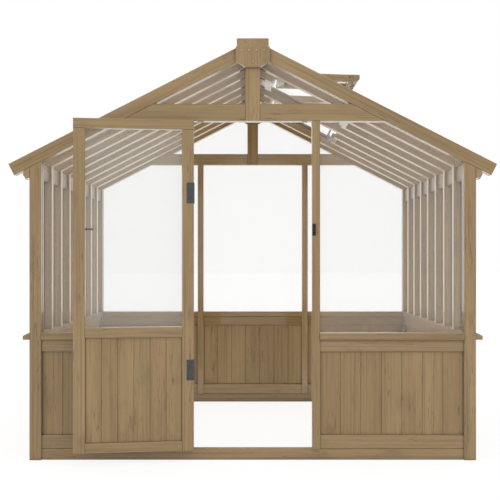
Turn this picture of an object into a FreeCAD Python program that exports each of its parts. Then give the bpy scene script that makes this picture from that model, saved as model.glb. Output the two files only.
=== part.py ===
import FreeCAD, Part
import math
import os

# Gabled wooden greenhouse, in millimetres: +X to the right of its front, +Y to the rear, +Z up.
# The origin is the middle of the front sill's underside, on the centre plane of the front frame.

# Overall sizes
wall_width = 2256.0  # outside to outside of the corner posts
frame_depth = 1915.0  # front post centre to rear post centre
apex_height = 2125.0  # where the two roof planes would meet
roof_pitch = 27.0  # degrees
eave_reach = 106.0  # from a post's outer face out to the upper corner of the rafter tails
bays = 8  # glazed bays along each side

# Wall timbers
post_size = 60.0
stud_width = 45.0
sill_height = 57.0
sill_thick = 40.0
rail_thick = 40.0
bottom_rail = 68.0
top_rail = 60.0
knee_height = 642.0  # top of the cap boards
cap_thick = 34.0
front_cap_lip = 8.0  # front and rear caps stand out this far
side_cap_lip = 33.0
side_cap_bevel = 14.0
plate_height = 55.5  # wall plate's outer face below the rafters
plate_recess = 12.0  # wall plate behind the inner faces of the studs
strip_thick = 30.0  # eave strip outside the posts
strip_height = 53.5  # its inner face below the rafters
strip_bevel = 12.0
edge_ease = 2.5  # long edges of every timber are eased this much

# Knee wall boards
board_thick = 16.0
board_width = 104.0  # nearest whole number of boards fills each panel
board_vee = 2.0
board_seat = 9.0  # depth of the boards' ends in the rails
tongue_reach = 6.0
tongue_thick = 5.0
joint_gap = 0.4  # slack round a tongue and in every groove

# Doorway, ties and rear mullions
doorway_width = 600.0
jamb_width = 40.0
front_tie_drop = 412.0  # apex to the underside of the front tie, which is the doorway's head
front_tie_height = 86.0
rear_tie_drop = 441.0
rear_tie_height = 78.0
king_width = 75.0
mullion_width = 40.0
mullion_spacing = 742.0  # centre to centre

# Roof timbers
rafter_width = 60.0
rafter_depth = 64.0
ridge_thick = 40.0
ridge_height = 100.0
ridge_cap_width = 160.0
ridge_cap_thick = 41.0
gusset_thick = 20.0
gusset_width = 172.0
gusset_shoulder = 74.0  # height of the gusset's upright sides
gusset_drop = 28.0  # further drop to its narrow foot
gusset_foot = 80.0
screw_radius = 5.0
screw_sides = 10
screw_head = 2.5
screw_row_drop = 18.0  # row of four screws below the ridge cap
screw_row_pitch = 38.0
screw_foot_rise = 28.0  # single screw above the gusset's foot
bracket_leg = 56.0
bracket_width = 26.0
bracket_thick = 3.0

# Glazing
pane_thick = 6.0
pane_seat = 8.0  # how far a sheet enters the groove that holds it
pane_gap = 1.0  # slack at a sheet's ends
wall_pane_inset = 20.0  # outer wall face to the middle of the sheet
roof_pane_cover = 16.0  # rafter top to the middle of the sheet

# Door
door_gap = 3.0
door_thick = 38.0
door_open = 172.0  # degrees, as it stands
stile_width = 58.0
door_top_rail = 49.0
door_mid_rail = 51.0
door_mid_drop = 15.0  # top of the cap boards to the underside of the middle rail
door_bottom_rail = 47.0
door_board_width = 80.0
door_board_thick = 14.0

# Door hinges
hinge_heights = (462.0, 1346.0)
hinge_height = 102.0
hinge_leaf = 38.0
hinge_plate = 2.0
knuckle_radius = 5.0
knuckle_sides = 12
pin_radius = 2.5
hinge_stand = 6.0  # pin axis in front of the door's face
turning_gap = 0.3

# Barrel bolt and keeper
bolt_height = 1164.0
bolt_radius = 5.0
bolt_tail = 40.0  # rod past the stile's inner edge when drawn back
bolt_stand = 9.0  # rod axis in front of the door's face
bolt_tip_back = 2.0  # rod tip inside the door's edge when drawn back
bolt_plate_width = 50.0
bolt_plate_height = 40.0
bolt_plate_thick = 2.0
staple_width = 8.0
staple_wall = 4.0
staple_gap = 0.4
knob_radius = 4.0
knob_length = 16.0
keeper_width = 18.0
keeper_height = 58.0
keeper_thick = 3.0
keeper_loop = 12.0
keeper_gap = 1.0

# Roof vents on the right slope
vent_count = 2
vent_start = 2  # number of the rafter in line with the front vent's first stile
vent_pitch = 3  # bays from one vent to the next
vent_top = 150.0  # along the slope from the apex to the upper edge of the opening
vent_length = 464.0
upper_header = 74.0
lower_header = 26.0  # below the opening
header_ledge = 20.0  # part of the lower header that the shut sash lies on
ledge_gap = 0.5
vent_open = 25.0  # degrees, as they stand
sash_thick = 36.0
sash_stile = 45.0
sash_top_rail = 45.0
sash_low_rail = 58.0
sash_low_bevel = 12.0
sash_side_gap = 3.0
sash_head_gap = 2.0
sash_foot_gap = 4.0
sash_pane_cover = 14.0
vent_hinge_inset = 95.0  # sash corner to the middle of a hinge
vent_hinge_width = 50.0
vent_hinge_leaf = 30.0

# Vent stays
stay_setback = 26.0  # sash foot to the stay's pivot
stay_width = 12.0
stay_thick = 4.0
stay_foot = 6.0  # thickness of the stay's lips below and above the peg
stay_notch = 35.0  # degrees, slope of the upper lip that rests on the peg
stay_pin = 3.0  # radius of the pivot and of the peg
stay_base = 34.0
stay_plate = 2.5
stay_gap = 1.0  # round eye below its base plate
peg_reach = 10.0  # peg in front of the header's ledge
peg_drop = 58.0  # peg below the roof plane

# Places worked out from the sizes
pitch = math.radians(roof_pitch)
rise = math.tan(pitch)
half_width = wall_width / 2
wall_inner = half_width - post_size
wall_middle = half_width - post_size / 2
half_post = post_size / 2
rear = frame_depth
bay = frame_depth / bays
ridge_cap_bottom = apex_height - ridge_cap_width / 2 * rise
ridge_bottom = ridge_cap_bottom - ridge_height
eave_line = apex_height - rafter_depth / math.cos(pitch) - half_width * rise
plate_bottom = eave_line - plate_height
strip_bottom = eave_line - strip_height
door_head = apex_height - front_tie_drop
rear_tie_bottom = apex_height - rear_tie_drop
door_mid_height = knee_height - door_mid_drop
vent_first_rafters = [vent_start + i * vent_pitch for i in range(vent_count)]
vent_foot = vent_top + vent_length
rafter_end = (half_width + eave_reach) / math.cos(pitch)
jamb_inner = doorway_width / 2
jamb_outer = jamb_inner + jamb_width
mullion_inner = mullion_spacing / 2 - mullion_width / 2
mullion_outer = mullion_spacing / 2 + mullion_width / 2
king_half = king_width / 2
boards_low = sill_height + bottom_rail
boards_high = knee_height - cap_thick - top_rail
front_tie_top = door_head + front_tie_height
rear_tie_top = rear_tie_bottom + rear_tie_height
board_slot = board_seat + joint_gap
pane_slot = pane_seat + joint_gap
groove_width = pane_thick + 2 * joint_gap
far = 2 * (wall_width + frame_depth + apex_height)
roof_frame = FreeCAD.Placement(FreeCAD.Vector(0, 0, apex_height),
                               FreeCAD.Rotation(FreeCAD.Vector(0, 1, 0), roof_pitch))
nodes = {}


def vec(x, y, z):
    return FreeCAD.Vector(x, y, z)


def span(middle, width):
    """Range of the given width about its middle."""
    return (middle - width / 2, middle + width / 2)


def prism(points, along):
    """Solid swept from a closed outline of points along a vector."""
    return Part.Face(Part.makePolygon(points + points[:1])).extrude(along)


def block(x, y, z):
    """Plain box filling three ranges."""
    return Part.makeBox(x[1] - x[0], y[1] - y[0], z[1] - z[0], vec(x[0], y[0], z[0]))


def eased_outline(a, b):
    """Rectangle over two ranges with its four corners cut off by the easing."""
    e = edge_ease
    return [(a[0] + e, b[0]), (a[1] - e, b[0]), (a[1], b[0] + e), (a[1], b[1] - e),
            (a[1] - e, b[1]), (a[0] + e, b[1]), (a[0], b[1] - e), (a[0], b[0] + e)]


def beam_x(x, y, z):
    """Timber along X with eased long edges."""
    return prism([vec(x[0], b, c) for b, c in eased_outline(y, z)], vec(x[1] - x[0], 0, 0))


def beam_y(x, y, z):
    """Timber along Y with eased long edges."""
    return prism([vec(a, y[0], c) for a, c in eased_outline(x, z)], vec(0, y[1] - y[0], 0))


def beam_z(x, y, z):
    """Upright timber with eased long edges."""
    return prism([vec(a, b, z[0]) for a, b in eased_outline(x, y)], vec(0, 0, z[1] - z[0]))


def trim(shape, point, normal):
    """Cut off whatever lies beyond the plane through point, on the side that normal points to."""
    waste = Part.makeBox(far, far, far, vec(-far / 2, -far / 2, 0))
    waste.Placement = FreeCAD.Placement(point, FreeCAD.Rotation(vec(0, 0, 1), normal))
    return shape.cut(waste)


def rod(start, along, radius, length):
    """Round bar from a point along a direction."""
    return Part.makeCylinder(radius, length, start, along)


def faceted_bar(start, along, radius, sides):
    """Many-sided bar from a point along a vector."""
    across = along.cross(vec(along.y, along.z, along.x)).normalize()
    upward = across.cross(along).normalize()
    turns = [2 * math.pi * i / sides for i in range(sides)]
    corners = [start + across * (radius * math.cos(t)) + upward * (radius * math.sin(t)) for t in turns]
    return prism(corners, along)


def mirrored(solids):
    """The same pieces on the other side of the middle."""
    return [solid.mirror(vec(0, 0, 0), vec(1, 0, 0)) for solid in solids]


def both_sides(solids):
    return solids + mirrored(solids)


def moved(shape, offset):
    copy = shape.copy()
    copy.translate(offset)
    return copy


def placed(shape, placement):
    """Copy of a shape carried along by a placement."""
    copy = shape.copy()
    copy.Placement = placement.multiply(copy.Placement)
    return copy


def keep(node, solids):
    nodes.setdefault(node, []).extend(solids)


def under_rafter(x):
    """Height of the rafters' underside at a distance from the middle."""
    return apex_height - rafter_depth / math.cos(pitch) - x * rise


def reach_under_rafter(z):
    """Distance from the middle at which the rafters' underside has a given height."""
    return (under_rafter(0) - z) / rise


def trim_under_rafter(shape):
    """Cut the top of a piece on the right to the underside of the rafters."""
    return trim(shape, vec(0, 0, under_rafter(0)), vec(math.sin(pitch), 0, math.cos(pitch)))


def sheet(outline, y):
    """Glazing sheet standing across the greenhouse, from points (x, z)."""
    return prism([vec(x, y - pane_thick / 2, z) for x, z in outline], vec(0, pane_thick, 0))


# Knee wall boards: upright tongue-and-groove boards, made along X about y = 0
def board_outline(width, thick, grooved, tongued):
    """Section of one board: V-jointed arrises, a groove at its start and a tongue at its end."""
    half = thick / 2
    tongue = tongue_thick / 2
    slot = tongue + joint_gap
    depth = tongue_reach + joint_gap
    outline = [(board_vee, -half), (width - board_vee, -half), (width, board_vee - half)]
    if tongued:
        outline += [(width, -tongue), (width + tongue_reach, -tongue)]
        outline += [(width + tongue_reach, tongue), (width, tongue)]
    outline += [(width, half - board_vee), (width - board_vee, half), (board_vee, half)]
    outline += [(0, half - board_vee)]
    if grooved:
        outline += [(0, slot), (depth, slot), (depth, -slot), (0, -slot)]
    outline += [(0, board_vee - half)]
    return outline


def board_run(start, end, low, high, nominal, thick):
    """Boards side by side from start to end, their ends let into the rails below and above."""
    count = max(2, round((end - start) / nominal))
    width = (end - start) / count
    rise_by = vec(0, 0, high - low + 2 * board_seat)
    boards = []
    for i in range(count):
        outline = board_outline(width, thick, i > 0, i < count - 1)
        points = [vec(start + i * width + s, t, low - board_seat) for s, t in outline]
        boards.append(prism(points, rise_by))
    return boards


def rail_pair(start, end):
    """Bottom and top rail of a knee wall panel, along X about y = 0, slotted for the boards."""
    across = span(0, rail_thick)
    slot = span(0, board_thick + 2 * joint_gap)
    lower = beam_x((start, end), across, (sill_height, boards_low))
    upper = beam_x((start, end), across, (boards_high, boards_high + top_rail))
    lower = lower.cut(block((start, end), slot, (boards_low - board_slot, boards_low)))
    upper = upper.cut(block((start, end), slot, (boards_high, boards_high + board_slot)))
    return [lower, upper]


def knee_panel(wall, start, end, placement):
    """Rails and boards of one panel, put in their wall."""
    boards = board_run(start, end, boards_low, boards_high, board_width, board_thick)
    keep(wall + "_wall_rails", [placed(rail, placement) for rail in rail_pair(start, end)])
    keep(wall + "_wall_boards", [placed(board, placement) for board in boards])


def knee_walls():
    front = FreeCAD.Placement()
    back = FreeCAD.Placement(vec(0, rear, 0), FreeCAD.Rotation())
    for side in (1, -1):
        turn = FreeCAD.Rotation(vec(0, 0, 1), 90)
        wall = FreeCAD.Placement(vec(side * wall_middle, 0, 0), turn)
        knee_panel("side", half_post, rear - half_post, wall)
    for panel in ((jamb_outer, wall_inner), (-wall_inner, -jamb_outer)):
        knee_panel("front", panel[0], panel[1], front)
    edges = (-wall_inner, -mullion_outer, -mullion_inner, mullion_inner, mullion_outer, wall_inner)
    for i in range(0, len(edges), 2):
        knee_panel("rear", edges[i], edges[i + 1], back)


def caps():
    """Cap boards: front and rear ones stand out past their wall, side ones are notched round the posts."""
    heights = (knee_height - cap_thick, knee_height)
    front = (-half_post - front_cap_lip, half_post)
    back = (rear - half_post, rear + half_post + front_cap_lip)
    keep("front_wall_caps", both_sides([beam_x((jamb_outer, wall_inner), front, heights)]))
    keep("rear_wall_caps", both_sides([beam_x((mullion_outer, wall_inner), back, heights)]))
    keep("rear_wall_caps", [beam_x((-mullion_inner, mullion_inner), back, heights)])
    outer = half_width + side_cap_lip
    outline = [(wall_inner, heights[0]), (outer, heights[0]), (outer, knee_height - side_cap_bevel),
               (outer - 2 * side_cap_bevel, knee_height), (wall_inner, knee_height)]
    side = prism([vec(x, -half_post, z) for x, z in outline], vec(0, rear + post_size, 0))
    for y in (0, rear):
        side = side.cut(block((wall_inner, half_width), span(y, post_size), heights))
    keep("side_wall_caps", both_sides([side]))


def sills():
    heights = (0, sill_height)
    for node, y in (("front_sill", 0), ("rear_sill", rear)):
        keep(node, [beam_x((-wall_inner, wall_inner), span(y, sill_thick), heights)])
    side = beam_y(span(wall_middle, sill_thick), (half_post, rear - half_post), heights)
    keep("side_sills", both_sides([side]))


def pane_groove(x, y, low):
    """Cutter for a glazing groove that runs up a timber from a height."""
    return block(x, y, (low, apex_height))


def posts():
    """Corner posts, grooved for the side sheet and for the front or rear sheet."""
    for node, y, inward in (("front_posts", 0, 1), ("rear_posts", rear, -1)):
        post = beam_z((wall_inner, half_width), span(y, post_size), (0, apex_height))
        face = y + inward * half_post
        depth = sorted((face, face - inward * pane_slot))
        post = post.cut(pane_groove(span(half_width - wall_pane_inset, groove_width), depth, knee_height))
        edge = (wall_inner, wall_inner + pane_slot)
        post = post.cut(pane_groove(edge, span(y, groove_width), knee_height))
        keep(node, both_sides([trim_under_rafter(post)]))


def studs():
    """Studs of the side walls, on the side caps and grooved on both faces."""
    stud = beam_z((wall_inner, half_width), span(0, stud_width), (knee_height, apex_height))
    for face in (-1, 1):
        depth = sorted((face * stud_width / 2, face * (stud_width / 2 - pane_slot)))
        stud = stud.cut(pane_groove(span(half_width - wall_pane_inset, groove_width), depth, knee_height))
    stud = trim_under_rafter(stud)
    right = [moved(stud, vec(0, i * bay, 0)) for i in range(1, bays)]
    keep("right_studs", right)
    keep("left_studs", mirrored(right))


def bay_range(i, end_width, inner_width):
    """Clear range along Y of one bay, between end pieces and inner pieces of given widths."""
    start = end_width if i == 0 else inner_width
    stop = end_width if i == bays - 1 else inner_width
    return (i * bay + start / 2, (i + 1) * bay - stop / 2)


def side_walls():
    """Plate blocks between the studs, the sheets below them and the strips under the eaves."""
    panes = []
    for i in range(bays):
        clear = bay_range(i, post_size, stud_width)
        plate = beam_y((wall_inner + plate_recess, half_width), clear, (plate_bottom, apex_height))
        keep("wall_plates", both_sides([trim_under_rafter(plate)]))
        seated = (clear[0] - pane_seat, clear[1] + pane_seat)
        across = span(half_width - wall_pane_inset, pane_thick)
        panes.append(block(across, seated, (knee_height, plate_bottom - pane_gap)))
    keep("right_wall_panes", panes)
    keep("left_wall_panes", mirrored(panes))
    outer = half_width + strip_thick
    outline = [(half_width, strip_bottom), (outer - strip_bevel, strip_bottom),
               (outer, strip_bottom + strip_bevel), (outer, apex_height), (half_width, apex_height)]
    strip = prism([vec(x, -half_post, z) for x, z in outline], vec(0, rear + post_size, 0))
    keep("eave_strips", both_sides([trim_under_rafter(strip)]))


def gable_end(y, tie_bottom, tie_top, tie_node):
    """Collar tie in two halves against a king post, and the sheets in the triangle above them."""
    depth = span(y, post_size)
    half_tie = beam_x((king_half, half_width), depth, (tie_bottom, tie_top))
    keep(tie_node, both_sides([trim_under_rafter(half_tie)]))
    king = beam_z((-king_half, king_half), depth, (tie_bottom, apex_height))
    for side in ((-king_half, pane_slot - king_half), (king_half - pane_slot, king_half)):
        king = king.cut(pane_groove(side, span(y, groove_width), tie_top))
    king = trim_under_rafter(king)
    king = trim_under_rafter(king.mirror(vec(0, 0, 0), vec(1, 0, 0)))
    keep("king_posts", [king])
    edge = king_half - pane_seat
    tip = reach_under_rafter(tie_top + pane_gap)
    outline = [(edge, tie_top), (tip, tie_top), (edge, under_rafter(edge) - pane_gap)]
    keep("gable_panes", both_sides([sheet(outline, y)]))


def upright(inner, outer, y, top, grooved_faces):
    """Jamb or mullion from the sill up to a tie, grooved for sheets on the named faces."""
    timber = beam_z((inner, outer), span(y, post_size), (sill_height, top))
    slots = {"inner": (inner, inner + pane_slot), "outer": (outer - pane_slot, outer)}
    for face in grooved_faces:
        timber = timber.cut(pane_groove(slots[face], span(y, groove_width), knee_height))
    return timber


def corner_window(inner, head, y):
    """Five-sided sheet between an upright and a corner post, its top cut to tie and rafter."""
    edge = inner - pane_seat
    outer = wall_inner + pane_seat
    turn = reach_under_rafter(head)
    outline = [(edge, knee_height), (outer, knee_height), (outer, under_rafter(outer) - pane_gap),
               (turn, head - pane_gap), (edge, head - pane_gap)]
    return sheet(outline, y)


def front_and_rear():
    gable_end(0, door_head, front_tie_top, "front_tie")
    gable_end(rear, rear_tie_bottom, rear_tie_top, "rear_tie")
    jamb = upright(jamb_inner, jamb_outer, 0, door_head, ("outer",))
    keep("door_jambs", both_sides([jamb]))
    mullion = upright(mullion_inner, mullion_outer, rear, rear_tie_bottom, ("inner", "outer"))
    keep("rear_mullions", both_sides([mullion]))
    keep("front_panes", both_sides([corner_window(jamb_outer, door_head, 0)]))
    keep("rear_panes", both_sides([corner_window(mullion_outer, rear_tie_bottom, rear)]))
    edge = mullion_inner + pane_seat
    top = rear_tie_bottom - pane_gap
    keep("rear_panes", [sheet([(-edge, knee_height), (edge, knee_height), (edge, top), (-edge, top)], rear)])


# Roof: pieces of the right slope are made flat, x down the slope from the apex, z up from its top
def rafter(y, width, start, end, grooved_sides, ridge_face):
    """Rafter with glazing grooves, cut upright against the ridge and level under its cap."""
    timber = beam_x((start, end), span(y, width), (-rafter_depth, 0))
    slot = span(-roof_pane_cover, groove_width)
    for side in grooved_sides:
        face = y + side * width / 2
        depth = sorted((face, face - side * pane_slot))
        timber = timber.cut(block((start, end), depth, slot))
    timber = placed(timber, roof_frame)
    timber = trim(timber, vec(ridge_face, 0, 0), vec(-1, 0, 0))
    return trim(timber, vec(0, 0, ridge_cap_bottom), vec(0, 0, 1))


def roof_sheet(y, start, end):
    """Sheet in the rafters' grooves over a range along Y."""
    return placed(block((start, end), y, span(-roof_pane_cover, pane_thick)), roof_frame)


def vent_rafters():
    """Rafters that the vents interrupt: each sash takes the place of two, and of the bay between them."""
    return [first + i for first in vent_first_rafters for i in range(2)]


def vent_width(first):
    """Range along Y of a vent, over the full width of both its rafters."""
    return (first * bay - rafter_width / 2, (first + 1) * bay + rafter_width / 2)


def clear_of_vents(roof_piece):
    """Cut a sheet back from the sides of the sashes."""
    for first in vent_first_rafters:
        width = vent_width(first)
        room = block((vent_top, vent_foot), (width[0] - sash_side_gap, width[1] + sash_side_gap),
                     (-rafter_depth, 0))
        roof_piece = roof_piece.cut(placed(room, roof_frame))
    return roof_piece


def roof():
    gables = [rafter(0, post_size, 0, rafter_end, (1,), 0)]
    gables.append(rafter(rear, post_size, 0, rafter_end, (-1,), 0))
    keep("gable_rafters", both_sides(gables))
    face = ridge_thick / 2
    whole = rafter(0, rafter_width, 0, rafter_end, (-1, 1), face)
    keep("left_rafters", mirrored([moved(whole, vec(0, i * bay, 0)) for i in range(1, bays)]))
    for i in range(1, bays):
        if i in vent_rafters():
            keep("jack_rafters", [rafter(i * bay, rafter_width, 0, vent_top, (-1, 1), face)])
            keep("jack_rafters", [rafter(i * bay, rafter_width, vent_foot, rafter_end, (-1, 1), face)])
        else:
            keep("right_rafters", [moved(whole, vec(0, i * bay, 0))])
    top_of_sheet = roof_pane_cover - pane_thick / 2
    sheet_start = (ridge_cap_width / 2 * rise - top_of_sheet * math.cos(pitch)) / math.sin(pitch) + pane_gap
    left = []
    for i in range(bays):
        clear = bay_range(i, post_size, rafter_width)
        seated = (clear[0] - pane_seat, clear[1] + pane_seat)
        full = roof_sheet(seated, sheet_start, rafter_end)
        left.append(full)
        if i in vent_first_rafters:
            keep("right_roof_panes", [roof_sheet(seated, vent_foot + lower_header + pane_gap, rafter_end)])
        else:
            keep("right_roof_panes", [clear_of_vents(full)])
    keep("left_roof_panes", mirrored(left))


def ridge():
    """Ridge beam between the gables, cap board over it, gussets, screws and rafter brackets."""
    length = (half_post, rear - half_post)
    keep("ridge_beam", [beam_y(span(0, ridge_thick), length, (ridge_bottom, ridge_cap_bottom))])
    ends = (-half_post - gusset_thick, rear + half_post + gusset_thick)
    heights = (ridge_cap_bottom, ridge_cap_bottom + ridge_cap_thick)
    keep("ridge_cap", [beam_y(span(0, ridge_cap_width), ends, heights)])
    shoulder = ridge_cap_bottom - gusset_shoulder
    foot = shoulder - gusset_drop
    half = gusset_width / 2
    outline = [(-half, ridge_cap_bottom), (-half, shoulder), (-gusset_foot / 2, foot),
               (gusset_foot / 2, foot), (half, shoulder), (half, ridge_cap_bottom)]
    places = [((i - 1.5) * screw_row_pitch, ridge_cap_bottom - screw_row_drop) for i in range(4)]
    places.append((0, foot + screw_foot_rise))
    for face, out in ((-half_post, -1), (rear + half_post, 1)):
        plate = prism([vec(x, face, z) for x, z in outline], vec(0, out * gusset_thick, 0))
        keep("gusset_plates", [plate])
        for x, z in places:
            seat = vec(x, face + out * gusset_thick, z)
            head = faceted_bar(seat, vec(0, out * screw_head, 0), screw_radius, screw_sides)
            keep("gusset_screws", [head])
    for i in range(1, bays):
        keep("ridge_brackets", both_sides([ridge_bracket(i * bay)]))


def ridge_bracket(y):
    """Bent plate in the corner between the ridge beam and a rafter's underside."""
    face = ridge_thick / 2
    corner = under_rafter(face)
    inner = face + bracket_thick
    end = face + bracket_leg * math.cos(pitch)
    outline = [(face, corner - bracket_leg), (face, corner), (end, under_rafter(end)),
               (end - bracket_thick * math.sin(pitch), under_rafter(end) - bracket_thick * math.cos(pitch)),
               (inner, under_rafter(inner) - bracket_thick / math.cos(pitch)), (inner, corner - bracket_leg)]
    return prism([vec(x, y - bracket_width / 2, z) for x, z in outline], vec(0, bracket_width, 0))


# Door: made shut, then swung open about its pins
door_face = -half_post
door_back = door_face + door_thick
door_edge = jamb_inner - door_gap
door_low = sill_height + door_gap
door_high = door_head - door_gap
hinge_x = -door_edge - door_gap / 2
hinge_y = door_face - hinge_stand
swing = FreeCAD.Placement(vec(0, 0, 0), FreeCAD.Rotation(vec(0, 0, 1), -door_open), vec(hinge_x, hinge_y, 0))


def keep_on_door(node, solids):
    keep(node, [placed(solid, swing) for solid in solids])


def door_leaf():
    """Stiles under a full-width top rail, middle and bottom rail, boards below and a sheet above."""
    depth = (door_face, door_back)
    middle = (door_face + door_back) / 2
    inner = door_edge - stile_width
    stile_top = door_high - door_top_rail
    mid_top = door_mid_height + door_mid_rail
    panel_low = door_low + door_bottom_rail
    stile = beam_z((inner, door_edge), depth, (door_low, stile_top))
    slot = (inner, inner + pane_slot)
    stile = stile.cut(block(slot, span(middle, groove_width), (mid_top, stile_top)))
    keep_on_door("door_stiles", both_sides([stile]))
    across = (-inner, inner)
    board_groove = span(middle, door_board_thick + 2 * joint_gap)
    bottom = beam_x(across, depth, (door_low, panel_low))
    bottom = bottom.cut(block(across, board_groove, (panel_low - board_slot, panel_low)))
    mid = beam_x(across, depth, (door_mid_height, mid_top))
    mid = mid.cut(block(across, board_groove, (door_mid_height, door_mid_height + board_slot)))
    top = beam_x((-door_edge, door_edge), depth, (stile_top, door_high))
    keep_on_door("door_rails", [bottom, mid, top])
    boards = board_run(-inner, inner, panel_low, door_mid_height, door_board_width, door_board_thick)
    keep_on_door("door_boards", [moved(board, vec(0, middle, 0)) for board in boards])
    edge = inner + pane_seat
    top_edge = stile_top - pane_gap
    pane = sheet([(-edge, mid_top), (edge, mid_top), (edge, top_edge), (-edge, top_edge)], middle)
    keep_on_door("door_pane", [pane])


def hinge_knuckle(start, along):
    return faceted_bar(start, along, knuckle_radius, knuckle_sides)


def door_hinges():
    """Jamb leaf with two knuckles and the pin between them, door leaf that wraps the door's edge."""
    knuckle = hinge_height / 3
    edge_plate = (-door_edge - hinge_plate, -door_edge)
    plate_depth = (door_face - hinge_stand / 2, door_face)
    for middle in hinge_heights:
        low = middle - hinge_height / 2
        heights = (low, low + hinge_height)
        leaf = block((hinge_x - hinge_leaf, hinge_x), plate_depth, heights)
        for start in (low, low + 2 * knuckle):
            leaf = leaf.fuse(hinge_knuckle(vec(hinge_x, hinge_y, start), vec(0, 0, knuckle)))
        notch = (low + knuckle - turning_gap, low + 2 * knuckle + turning_gap)
        clear = knuckle_radius + turning_gap
        leaf = leaf.cut(block((hinge_x - clear, hinge_x + clear), (hinge_y - clear, door_face), notch))
        axis = vec(hinge_x, hinge_y, low)
        pin = rod(axis, vec(0, 0, 1), pin_radius, hinge_height)
        keep("door_jamb_hinges", [leaf.fuse(pin).removeSplitter()])
        wrap = block(edge_plate, (door_face, door_back + hinge_plate), heights)
        inside = (edge_plate[0], edge_plate[0] + hinge_leaf)
        wrap = wrap.fuse(block(inside, (door_back, door_back + hinge_plate), heights))
        tongue = (low + knuckle + turning_gap, low + 2 * knuckle - turning_gap)
        wrap = wrap.fuse(block(edge_plate, (hinge_y, door_face), tongue))
        middle_knuckle = vec(0, 0, tongue[1] - tongue[0])
        wrap = wrap.fuse(hinge_knuckle(vec(hinge_x, hinge_y, tongue[0]), middle_knuckle))
        hole = rod(axis, vec(0, 0, 1), pin_radius + turning_gap, hinge_height)
        keep_on_door("door_leaf_hinges", [wrap.cut(hole).removeSplitter()])


def barrel_bolt():
    """Bolt on the door's outer face, drawn back, and the keeper on the right jamb."""
    along = vec(1, 0, 0)
    axis_y = door_face - bolt_stand
    stile_inner = door_edge - stile_width
    plate_middle = door_edge - stile_width / 2
    plate_x = span(plate_middle, bolt_plate_width)
    plate_front = door_face - bolt_plate_thick
    heights = span(bolt_height, bolt_plate_height)
    plate = block(plate_x, (plate_front, door_face), heights)
    bore = bolt_radius + staple_gap
    wall = bore + staple_wall
    for start in (plate_x[0], plate_x[1] - staple_width):
        staple_x = (start, start + staple_width)
        plate = plate.fuse(block(staple_x, (axis_y - wall, plate_front), span(bolt_height, 2 * wall)))
    hole = block(plate_x, span(axis_y, 2 * bore), span(bolt_height, 2 * bore))
    keep_on_door("bolt_plate", [plate.cut(hole).removeSplitter()])
    tail = stile_inner - bolt_tail
    bar = rod(vec(tail, axis_y, bolt_height), along, bolt_radius, door_edge - bolt_tip_back - tail)
    knob = rod(vec(tail + 2 * knob_radius, axis_y, bolt_height), vec(0, -1, 0), knob_radius,
               bolt_radius + knob_length)
    keep_on_door("bolt_rod", [bar.fuse(knob).removeSplitter()])
    keeper = block((jamb_inner, jamb_inner + keeper_width), (door_face - keeper_thick, door_face),
                   span(bolt_height, keeper_height))
    bore = bolt_radius + keeper_gap
    wall = bore + staple_wall
    loop_x = span(jamb_inner + keeper_width / 2, keeper_loop)
    loop = block(loop_x, (axis_y - wall, door_face - keeper_thick), span(bolt_height, 2 * wall))
    hole = block(loop_x, span(axis_y, 2 * bore), span(bolt_height, 2 * bore))
    keep("bolt_keeper", [keeper.fuse(loop.cut(hole)).removeSplitter()])


# Roof vents: sash and fittings are made shut and flat, tilted open about the hinge, then put on the slope
vent_hinge_u = vent_top + sash_head_gap / 2
vent_hinge_z = knuckle_radius
sash_start = vent_top + sash_head_gap
sash_end = vent_top + vent_length - sash_foot_gap
sash_tilt = FreeCAD.Placement(vec(0, 0, 0), FreeCAD.Rotation(vec(0, 1, 0), -vent_open),
                              vec(vent_hinge_u, 0, vent_hinge_z))
stay_drop = stay_plate + stay_gap + stay_width / 2
stay_pivot = vec(sash_end - stay_setback, 0, -sash_thick - stay_drop)
ledge_edge = vent_foot - header_ledge
peg = vec(ledge_edge - peg_reach, 0, -peg_drop)


def vent_headers(first):
    """Headers between the jack rafters of one vent: up to the ridge cap, and below it with a ledge."""
    clear = bay_range(first, post_size, rafter_width)
    depth = (-rafter_depth, 0)
    upper = beam_y((vent_top - upper_header, vent_top), clear, depth)
    lower = beam_y((ledge_edge, vent_foot + lower_header), clear, depth)
    lower = lower.cut(block((ledge_edge, vent_foot), clear, (-sash_thick - ledge_gap, 0)))
    upper = trim(placed(upper, roof_frame), vec(0, 0, ridge_cap_bottom), vec(0, 0, 1))
    keep("vent_headers", [upper, placed(lower, roof_frame)])


def keep_on_sash(node, solids):
    for solid in solids:
        keep(node, [placed(placed(solid, sash_tilt), roof_frame)])


def sash(vent, y):
    """Sash frame: rails across the whole width, stiles between them, sheet in a groove."""
    depth = (-sash_thick, 0)
    stile_u = (sash_start + sash_top_rail, sash_end - sash_low_rail)
    groove = span(-sash_pane_cover, groove_width)
    top = beam_y((sash_start, stile_u[0]), y, depth)
    top = top.cut(block((stile_u[0] - pane_slot, stile_u[0]), y, groove))
    low = beam_y((stile_u[1], sash_end), y, depth)
    low = low.cut(block((stile_u[1], stile_u[1] + pane_slot), y, groove))
    low = trim(low, vec(sash_end - sash_low_bevel, 0, -sash_thick), vec(1, 0, -1))
    stiles = []
    for edge, inward in ((y[0], 1), (y[1], -1)):
        inner = edge + inward * sash_stile
        stile = beam_x(stile_u, sorted((edge, inner)), depth)
        slot = sorted((inner, inner - inward * pane_slot))
        stiles.append(stile.cut(block(stile_u, slot, groove)))
    keep_on_sash(vent + "_vent_sash", [top, low] + stiles)
    seated_u = (stile_u[0] - pane_seat, stile_u[1] + pane_seat)
    seated_y = (y[0] + sash_stile - pane_seat, y[1] - sash_stile + pane_seat)
    keep_on_sash(vent + "_vent_pane", [block(seated_u, seated_y, span(-sash_pane_cover, pane_thick))])


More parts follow.
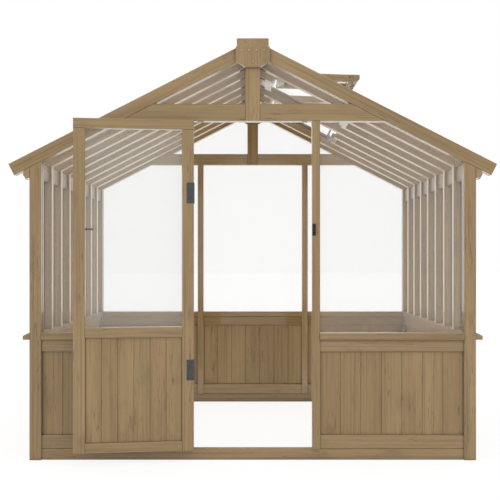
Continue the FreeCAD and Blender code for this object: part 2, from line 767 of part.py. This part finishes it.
def vent_hinges(vent, y):
    """Surface hinges of two knuckles: a bored one on the header leaf, one with the pin on the sash leaf."""
    along = vec(0, 1, 0)
    plates = (0, hinge_plate)
    free = knuckle_radius + turning_gap
    for middle in (y[0] + vent_hinge_inset, y[1] - vent_hinge_inset):
        wide = span(middle, vent_hinge_width)
        bored = (wide[0], middle - turning_gap / 2)
        pinned = (middle + turning_gap / 2, wide[1])
        axis = vec(vent_hinge_u, wide[0], vent_hinge_z)
        leaf = block((vent_hinge_u - vent_hinge_leaf, vent_hinge_u - free), wide, plates)
        leaf = leaf.fuse(block((vent_hinge_u - free, vent_hinge_u), bored, plates))
        leaf = leaf.fuse(hinge_knuckle(axis, along * (bored[1] - bored[0])))
        leaf = leaf.cut(rod(axis, along, pin_radius + turning_gap, vent_hinge_width))
        keep("vent_header_hinges", [placed(leaf.removeSplitter(), roof_frame)])
        wing = block((vent_hinge_u + free, vent_hinge_u + vent_hinge_leaf), wide, plates)
        wing = wing.fuse(block((vent_hinge_u, vent_hinge_u + free), pinned, plates))
        start = vec(vent_hinge_u, pinned[0], vent_hinge_z)
        wing = wing.fuse(hinge_knuckle(start, along * (pinned[1] - pinned[0])))
        wing = wing.fuse(rod(axis, along, pin_radius, vent_hinge_width))
        keep_on_sash(vent + "_vent_fittings", [wing.removeSplitter()])


def stay_bracket(y):
    """Base plate under the sash's lower rail with an ear and the pin that the stay hangs on."""
    across = span(stay_pivot.x, stay_width)
    face = y - stay_thick / 2 - turning_gap
    base = block(across, span(y, stay_base), (-sash_thick - stay_plate, -sash_thick))
    ear = block(across, (face - stay_plate, face), (stay_pivot.z - stay_width / 2, -sash_thick))
    length = stay_plate + stay_thick + 2 * turning_gap
    pin = rod(vec(stay_pivot.x, face - stay_plate, stay_pivot.z), vec(0, 1, 0), stay_pin, length)
    return base.fuse(ear).fuse(pin).removeSplitter()


def stay_peg(y):
    """Bracket on the header's ledge with an ear and the peg that the stay's notch rests on."""
    heights = span(peg.z, stay_width)
    face = y + stay_thick / 2 + turning_gap
    base = block((ledge_edge - stay_plate, ledge_edge), span(y, stay_base), heights)
    ear = block((peg.x - stay_width / 2, ledge_edge), (face, face + stay_plate), heights)
    length = stay_plate + stay_thick + 2 * turning_gap
    pin = rod(vec(peg.x, face + stay_plate, peg.z), vec(0, -1, 0), stay_pin, length)
    return base.fuse(ear).fuse(pin).removeSplitter()


def stay_bar(y):
    """Flat bar from its eye to a notch over the peg, as it stands with the sash open."""
    pivot = sash_tilt.multVec(stay_pivot)
    to_peg = peg - pivot
    half = stay_width / 2
    free = stay_pin + turning_gap
    beside = half + free
    peg_at = math.sqrt(to_peg.Length ** 2 - beside ** 2)
    lean = math.degrees(math.atan2(to_peg.z, to_peg.x) - math.asin(beside / to_peg.Length))
    lip = beside + stay_pin
    shank = peg_at + free
    slope = math.tan(math.radians(stay_notch))
    notch = peg_at + free * (slope - math.sqrt(1 + slope ** 2))
    tip = notch - slope * (lip - half)
    low = y - stay_thick / 2
    outline = [(0, -half), (shank + stay_foot, -half), (shank + stay_foot, lip), (shank, lip), (shank, half),
               (notch, half), (tip, lip), (tip - stay_foot, lip), (tip - 2 * stay_foot, half), (0, half)]
    bar = prism([vec(a, low, b) for a, b in outline], vec(0, stay_thick, 0))
    bar = bar.fuse(rod(vec(0, low, 0), vec(0, 1, 0), half, stay_thick))
    bar = bar.cut(rod(vec(0, low, 0), vec(0, 1, 0), stay_pin + turning_gap, stay_thick))
    stand = FreeCAD.Placement(vec(pivot.x, 0, pivot.z), FreeCAD.Rotation(vec(0, 1, 0), -lean))
    return placed(bar.removeSplitter(), stand)


def vents():
    for vent, first in zip(("front", "rear"), vent_first_rafters):
        width = vent_width(first)
        middle = (width[0] + width[1]) / 2
        vent_headers(first)
        sash(vent, width)
        vent_hinges(vent, width)
        keep_on_sash(vent + "_vent_fittings", [stay_bracket(middle)])
        keep("stay_pegs", [placed(stay_peg(middle), roof_frame)])
        keep(vent + "_vent_stay", [placed(stay_bar(middle), roof_frame)])


def write_parts():
    os.makedirs("parts", exist_ok=True)
    for node, solids in nodes.items():
        Part.makeCompound(solids).exportStep("parts/" + node + ".step")


sills()
posts()
studs()
side_walls()
knee_walls()
caps()
front_and_rear()
roof()
ridge()
door_leaf()
door_hinges()
barrel_bolt()
vents()
write_parts()
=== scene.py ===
import math
from collections import namedtuple

import bmesh
import bpy
from mathutils import Matrix, Vector


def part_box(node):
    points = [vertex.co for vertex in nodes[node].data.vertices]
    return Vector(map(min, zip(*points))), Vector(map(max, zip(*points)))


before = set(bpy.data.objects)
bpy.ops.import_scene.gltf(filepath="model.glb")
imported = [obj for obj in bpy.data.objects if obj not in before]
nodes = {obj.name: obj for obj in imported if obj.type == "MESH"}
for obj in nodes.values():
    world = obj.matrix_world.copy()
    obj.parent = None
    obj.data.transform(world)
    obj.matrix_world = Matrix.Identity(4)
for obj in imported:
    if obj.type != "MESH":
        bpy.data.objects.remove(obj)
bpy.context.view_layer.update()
scene = bpy.context.scene
scene.view_settings.view_transform = "Standard"

# Directions in which the timbers lie
roof_pitch = math.radians(27)
sash_pitch = math.radians(2)
door_turn = math.radians(8)
upright = Vector((0, 0, 1))
across = Vector((1, 0, 0))
lengthwise = Vector((0, 1, 0))
down_roof = Vector((math.cos(roof_pitch), 0, -math.sin(roof_pitch)))
down_sash = Vector((math.cos(sash_pitch), 0, -math.sin(sash_pitch)))
along_door = Vector((math.cos(door_turn), math.sin(door_turn), 0))

# Oiled softwood, as scene-linear colours
pale_wood = (0.372, 0.244, 0.100, 1)
warm_wood = (0.288, 0.180, 0.064, 1)
olive_wood = (0.251, 0.172, 0.055, 1)
rosy_wood = (0.328, 0.183, 0.072, 1)
# Brown of the grain's streaks, lines and fibres, and also the colour of the painted shade in the
# timber's corners
streak_and_corner_shade_brown = (0.154, 0.087, 0.029, 1)
dark_check = (0.070, 0.034, 0.010, 1)
wood_bloom = (1.0, 0.86, 0.70, 1)

# Marks made of noise. Repeats is how often a mark comes back in a metre, in the wood along the
# grain and twice across it. A mark begins where the noise reaches starts, is whole at whole, and
# covers what lies under it by depth.
Mark = namedtuple("Mark", "repeats starts whole depth detail roughness distortion",
                  defaults=(1.0, 2, 0.5, 0.0))
tone = Mark((0.8, 6.0, 6.0), 0.30, 0.72)
olive_band = Mark((0.5, 9.0, 9.0), 0.46, 0.68, depth=0.45)
rosy_band = Mark((0.6, 11.0, 11.0), 0.50, 0.72, depth=0.45)
cloud = Mark((4.5, 12.0, 12.0), 0.53, 0.78, depth=0.55, detail=4, roughness=0.6)
streak = Mark((1.6, 34.0, 34.0), 0.50, 0.80, depth=0.6, detail=5, roughness=0.6, distortion=0.4)
line = Mark((1.3, 120.0, 120.0), 0.46, 0.70, depth=0.5, detail=3, roughness=0.6)
fibre = Mark((9.0, 330.0, 330.0), 0.45, 0.75, depth=0.25, detail=3, roughness=0.6)
check = Mark((14.0, 210.0, 210.0), 0.60, 0.68, depth=0.7)
cluster = Mark((2.4, 17.0, 17.0), 0.52, 0.62)
mottle = Mark((90.0, 90.0, 90.0), 0.40, 0.65, detail=4, roughness=0.6)

# Shift of the pattern, in metres, that gives the left slope marks of its own
far_side_shift = (3.7, 1.3, 2.1)

# Shade in the corners of the timber: how far it reaches, and the openness at its darkest and end
corner_reach = 0.022
corner_samples = 16
corner_darkest = 0.35
corner_end = 0.95

# Surface of the oiled wood and of the metals
wood_roughness = 0.3
wood_shine = 0.2
oil_index = 1.5
bloom_roughness = 0.65
fibre_relief = 0.25
fibre_height = 0.0006
mottle_relief = 0.3
mottle_height = 0.0003

# Metal colours
hinge_grey = (0.070, 0.074, 0.076, 1)
hinge_worn = (0.045, 0.047, 0.048, 1)
bolt_black = (0.034, 0.023, 0.012, 1)
bolt_worn = (0.052, 0.037, 0.021, 1)
screw_tan = (0.46, 0.37, 0.27, 1)
screw_dull = (0.36, 0.28, 0.20, 1)
zinc_grey = (0.40, 0.39, 0.38, 1)
zinc_dull = (0.24, 0.23, 0.22, 1)

# Glazing
sheet_tint = (0.95, 0.96, 0.93, 1)
sheet_roughness = 0.05
sheet_haze = 0.07

# Widths of a vent sash's rails along its slope
sash_top_rail = 0.045
sash_foot_rail = 0.058

# Floor: what lights the greenhouse, and what the camera, gloss and glass see
floor_reach = 60
floor_matt = (0.88, 0.88, 0.88, 1)
floor_shade = (0.18, 0.18, 0.18, 1)
floor_white = 0.86

# Light, in watts and metres
world_white = (1, 1, 1, 1)
world_strength = 1.0
front_light_power = 12
front_light_size = 5.0
front_light_place = Vector((-0.6, -7.0, 0.8))
front_light_target = Vector((0, 0.4, 0.7))
inside_light_power = 5
inside_light_rise = 0.02
inside_side_room = 0.2
inside_end_room = 0.1

# Camera, in millimetres for the film and lens
film_width = 36
lens_length = 66.9
sideways_shift = -0.0055
upward_shift = 0.0176
farthest_view = 200
camera_place = (0, -4.72, 1.017)
camera_level = (math.radians(90), 0, 0)


class Shading:
    """Small helper that adds and links the nodes of one material."""

    def __init__(self, name):
        self.material = bpy.data.materials.new(name)
        self.material.use_nodes = True
        self.tree = self.material.node_tree
        self.tree.nodes.clear()

    def add(self, kind, **settings):
        node = self.tree.nodes.new("ShaderNode" + kind)
        for key, value in settings.items():
            setattr(node, key, value)
        return node

    def feed(self, socket, value):
        if isinstance(value, bpy.types.NodeSocket):
            self.tree.links.new(value, socket)
        else:
            socket.default_value = value

    def vector(self, operation, first, second=None):
        node = self.add("VectorMath", operation=operation)
        self.feed(node.inputs[0], first)
        if second is not None:
            self.feed(node.inputs[1], second)
        return node.outputs["Value" if operation == "DOT_PRODUCT" else "Vector"]

    def maths(self, operation, first, second):
        node = self.add("Math", operation=operation)
        self.feed(node.inputs[0], first)
        self.feed(node.inputs[1], second)
        return node.outputs[0]

    def turned(self, coords, grain):
        """Coordinates with x along the grain."""
        node = self.add("Mapping", vector_type="POINT")
        self.feed(node.inputs["Vector"], coords)
        node.inputs["Rotation"].default_value = grain_turn(grain)
        return node.outputs["Vector"]

    def noise(self, place, mark):
        node = self.add("TexNoise", noise_dimensions="3D")
        self.feed(node.inputs["Vector"], self.vector("MULTIPLY", place, mark.repeats))
        node.inputs["Scale"].default_value = 1.0
        node.inputs["Detail"].default_value = mark.detail
        node.inputs["Roughness"].default_value = mark.roughness
        node.inputs["Distortion"].default_value = mark.distortion
        return node.outputs["Fac"]

    def between(self, value, low, high, depth=1.0):
        """Share from 0 at low to depth at high, and flat beyond them."""
        node = self.add("MapRange", interpolation_type="SMOOTHSTEP")
        self.feed(node.inputs["Value"], value)
        node.inputs["From Min"].default_value = low
        node.inputs["From Max"].default_value = high
        node.inputs["To Max"].default_value = depth
        return node.outputs["Result"]

    def cover(self, noise, mark):
        """How much a mark covers at each place of its noise."""
        return self.between(noise, mark.starts, mark.whole, mark.depth)

    def blend(self, share, first, second):
        node = self.add("Mix", data_type="RGBA")
        self.feed(node.inputs["Factor"], share)
        self.feed(node.inputs[6], first)
        self.feed(node.inputs[7], second)
        return node.outputs[2]

    def pick(self, share, first, second):
        node = self.add("Mix", data_type="VECTOR")
        self.feed(node.inputs["Factor"], share)
        self.feed(node.inputs[4], first)
        self.feed(node.inputs[5], second)
        return node.outputs[1]

    def relief(self, height, strength, distance):
        node = self.add("Bump")
        node.inputs["Strength"].default_value = strength
        node.inputs["Distance"].default_value = distance
        self.feed(node.inputs["Height"], height)
        return node.outputs["Normal"]

    def surface(self, shader):
        output = self.add("OutputMaterial")
        self.tree.links.new(shader, output.inputs["Surface"])
        return self.material


def grain_turn(grain):
    """Rotation that lays a grain direction along the pattern's x."""
    side = lengthwise if abs(grain.dot(lengthwise)) < 0.5 else across
    third = grain.cross(side).normalized()
    side = third.cross(grain)
    return Matrix((grain, side, third)).to_euler("XYZ")


def timber(name, grain, oil=1.0, smooth=0.06, bloom=0.3, both_slopes=False, rails=None):
    """Oiled softwood with its grain along a direction.

    Oil is how much of the coat shows, smooth the coat's roughness, and bloom the pale sheen on faces
    seen edge-on. With both slopes, the left slope mirrors the right one's grain and has marks of its
    own. Rails is a range along the grain outside which the timber runs lengthwise instead.
    """
    shading = Shading(name)
    coords = shading.add("TexCoord").outputs["Object"]
    if both_slopes:
        left = shading.maths("LESS_THAN", shading.vector("DOT_PRODUCT", coords, across), 0.0)
        coords = shading.vector("ABSOLUTE", coords)
    place = shading.turned(coords, grain)
    if both_slopes:
        place = shading.pick(left, place, shading.vector("ADD", place, far_side_shift))
    if rails is not None:
        low, high = rails
        down = shading.vector("DOT_PRODUCT", coords, grain)
        inside = shading.maths("MULTIPLY", shading.maths("GREATER_THAN", down, low),
                               shading.maths("LESS_THAN", down, high))
        place = shading.pick(inside, shading.turned(coords, lengthwise), place)

    def covered(mark):
        return shading.cover(shading.noise(place, mark), mark)

    colour = shading.blend(covered(tone), warm_wood, pale_wood)
    colour = shading.blend(covered(olive_band), colour, olive_wood)
    colour = shading.blend(covered(rosy_band), colour, rosy_wood)
    for mark in (cloud, streak, line):
        colour = shading.blend(covered(mark), colour, streak_and_corner_shade_brown)
    fibres = shading.noise(place, fibre)
    colour = shading.blend(shading.cover(fibres, fibre), colour, streak_and_corner_shade_brown)
    checks = shading.maths("MULTIPLY", covered(check), covered(cluster))
    colour = shading.blend(checks, colour, dark_check)
    # Painted shade: the wood's colour darkens towards the streak brown in corners and where parts
    # meet, by ambient occlusion
    corners = shading.add("AmbientOcclusion", samples=corner_samples)
    corners.inputs["Distance"].default_value = corner_reach
    openness = shading.between(corners.outputs["AO"], corner_darkest, corner_end)
    colour = shading.blend(openness, streak_and_corner_shade_brown, colour)
    shader = shading.add("BsdfPrincipled")
    shading.feed(shader.inputs["Base Color"], colour)
    shader.inputs["Roughness"].default_value = wood_roughness
    shader.inputs["Specular IOR Level"].default_value = wood_shine
    shader.inputs["Coat Weight"].default_value = oil
    shader.inputs["Coat Roughness"].default_value = smooth
    shader.inputs["Coat IOR"].default_value = oil_index
    shader.inputs["Sheen Weight"].default_value = bloom * oil
    shader.inputs["Sheen Roughness"].default_value = bloom_roughness
    shader.inputs["Sheen Tint"].default_value = wood_bloom
    shading.feed(shader.inputs["Normal"], shading.relief(fibres, fibre_relief, fibre_height))
    return shading.surface(shader.outputs["BSDF"])


def metal(name, clean, worn, roughness, metallic, shine=0.5):
    """Cast or plated metal, mottled between a clean and a worn colour."""
    shading = Shading(name)
    spots = shading.noise(shading.add("TexCoord").outputs["Object"], mottle)
    shader = shading.add("BsdfPrincipled")
    colour = shading.blend(shading.cover(spots, mottle), clean, worn)
    shading.feed(shader.inputs["Base Color"], colour)
    shader.inputs["Roughness"].default_value = roughness
    shader.inputs["Metallic"].default_value = metallic
    shader.inputs["Specular IOR Level"].default_value = shine
    shading.feed(shader.inputs["Normal"], shading.relief(spots, mottle_relief, mottle_height))
    return shading.surface(shader.outputs["BSDF"])


def glazing():
    """Clear sheet with a faint white haze."""
    shading = Shading("clear_glazing")
    shader = shading.add("BsdfPrincipled")
    shader.inputs["Base Color"].default_value = sheet_tint
    shader.inputs["Roughness"].default_value = sheet_roughness
    shader.inputs["Alpha"].default_value = sheet_haze
    return shading.surface(shader.outputs["BSDF"])


def dress(finish, *names):
    """Gives the named CAD nodes one finish."""
    for name in names:
        slots = nodes[name].material_slots
        for slot in slots:
            slot.material = finish
        if not slots:
            nodes[name].data.materials.append(finish)


dress(timber("upright_timber", upright, bloom=0.25),
      "front_posts", "rear_posts", "door_jambs", "king_posts", "gusset_plates", "door_stiles")
dress(timber("stud_timber", upright, bloom=1.0), "left_studs", "right_studs", "rear_mullions")
dress(timber("board_timber", upright, smooth=0.35, bloom=0.2),
      "front_wall_boards", "rear_wall_boards", "side_wall_boards", "door_boards")
dress(timber("crosswise_timber", across),
      "front_sill", "rear_sill", "front_wall_rails", "rear_wall_rails", "rear_wall_caps", "front_tie")
dress(timber("rear_tie_timber", across, bloom=1.0), "rear_tie")
dress(timber("front_cap_timber", across, oil=0.8, smooth=0.35), "front_wall_caps")
dress(timber("lengthwise_timber", lengthwise),
      "side_sills", "side_wall_rails", "side_wall_caps", "eave_strips", "vent_headers", "ridge_beam",
      "ridge_cap")
dress(timber("plate_timber", lengthwise, oil=0.2), "wall_plates")
dress(timber("gable_timber", down_roof, bloom=0.15, both_slopes=True), "gable_rafters")
dress(timber("rafter_timber", down_roof, bloom=1.0, both_slopes=True),
      "left_rafters", "right_rafters", "jack_rafters")
dress(timber("door_rail_timber", along_door), "door_rails")

sash_low, sash_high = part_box("front_vent_sash")
sash_start = down_sash.dot(Vector((sash_low.x, 0, sash_high.z)))
sash_end = down_sash.dot(Vector((sash_high.x, 0, sash_low.z)))
sash_between_rails = (sash_start + sash_top_rail, sash_end - sash_foot_rail)
dress(timber("sash_timber", down_sash, rails=sash_between_rails), "front_vent_sash", "rear_vent_sash")

dress(glazing(),
      "front_panes", "rear_panes", "gable_panes", "left_wall_panes", "right_wall_panes",
      "left_roof_panes", "right_roof_panes", "door_pane", "front_vent_pane", "rear_vent_pane")
dress(metal("hinge_metal", hinge_grey, hinge_worn, roughness=0.45, metallic=0.3),
      "door_jamb_hinges", "door_leaf_hinges")
dress(metal("bolt_metal", bolt_black, bolt_worn, roughness=0.6, metallic=0.0, shine=0.15),
      "bolt_plate", "bolt_rod", "bolt_keeper", "ridge_brackets")
dress(metal("zinc_plate", zinc_grey, zinc_dull, roughness=0.45, metallic=0.7),
      "front_vent_stay", "rear_vent_stay", "stay_pegs", "front_vent_fittings", "rear_vent_fittings",
      "vent_header_hinges")
dress(metal("screw_metal", screw_tan, screw_dull, roughness=0.5, metallic=0.3), "gusset_screws")


def pale_floor():
    """Pale matt floor that looks white and still takes the greenhouse's shadow."""
    shading = Shading("pale_floor")
    matt = shading.add("BsdfDiffuse")
    matt.inputs["Color"].default_value = floor_matt
    shade = shading.add("BsdfDiffuse")
    shade.inputs["Color"].default_value = floor_shade
    glow = shading.add("Emission")
    glow.inputs["Strength"].default_value = floor_white
    white = shading.add("AddShader")
    shading.feed(white.inputs[0], shade.outputs[0])
    shading.feed(white.inputs[1], glow.outputs[0])
    path = shading.add("LightPath").outputs
    mirrored = shading.maths("MAXIMUM", path["Is Glossy Ray"], path["Is Transmission Ray"])
    seen = shading.maths("MAXIMUM", path["Is Camera Ray"], mirrored)
    either = shading.add("MixShader")
    shading.feed(either.inputs[0], seen)
    shading.feed(either.inputs[1], matt.outputs[0])
    shading.feed(either.inputs[2], white.outputs[0])
    return shading.surface(either.outputs[0])


def surroundings():
    """White world and the pale floor."""
    world = bpy.data.worlds.new("studio")
    scene.world = world
    world.use_nodes = True
    background = world.node_tree.nodes["Background"]
    background.inputs["Color"].default_value = world_white
    background.inputs["Strength"].default_value = world_strength
    floor_mesh = bpy.data.meshes.new("floor")
    ground = bmesh.new()
    bmesh.ops.create_grid(ground, x_segments=1, y_segments=1, size=floor_reach)
    ground.to_mesh(floor_mesh)
    ground.free()
    floor = bpy.data.objects.new("floor", floor_mesh)
    scene.collection.objects.link(floor)
    floor_mesh.materials.append(pale_floor())


def front_light():
    """Broad soft lamp in front of the door."""
    lamp = bpy.data.lights.new("front_light", "AREA")
    lamp.size = front_light_size
    lamp.energy = front_light_power
    holder = bpy.data.objects.new("front_light", lamp)
    holder.location = front_light_place
    holder.visible_glossy = False
    aim = front_light_target - front_light_place
    holder.rotation_euler = aim.to_track_quat("-Z", "Y").to_euler()
    scene.collection.objects.link(holder)


def inside_light():
    """Soft lamp that lies on the ground between the walls and shines up."""
    room_low, room_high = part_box("side_sills")
    lamp = bpy.data.lights.new("inside_light", "AREA")
    lamp.shape = "RECTANGLE"
    lamp.size = room_high.x - room_low.x - inside_side_room
    lamp.size_y = room_high.y - room_low.y - inside_end_room
    lamp.energy = inside_light_power
    holder = bpy.data.objects.new("inside_light", lamp)
    holder.location = (0, (room_low.y + room_high.y) / 2, inside_light_rise)
    holder.rotation_euler = (math.radians(180), 0, 0)
    holder.visible_camera = False
    holder.visible_glossy = False
    scene.collection.objects.link(holder)


def photographer():
    """Camera square to the front, at the photograph's eye height and distance."""
    lens = bpy.data.cameras.new("front_camera")
    lens.sensor_width = film_width
    lens.lens = lens_length
    lens.shift_x = sideways_shift
    lens.shift_y = upward_shift
    lens.clip_end = farthest_view
    camera = bpy.data.objects.new("front_camera", lens)
    camera.location = camera_place
    camera.rotation_euler = camera_level
    scene.collection.objects.link(camera)
    scene.camera = camera


surroundings()
front_light()
inside_light()
photographer()
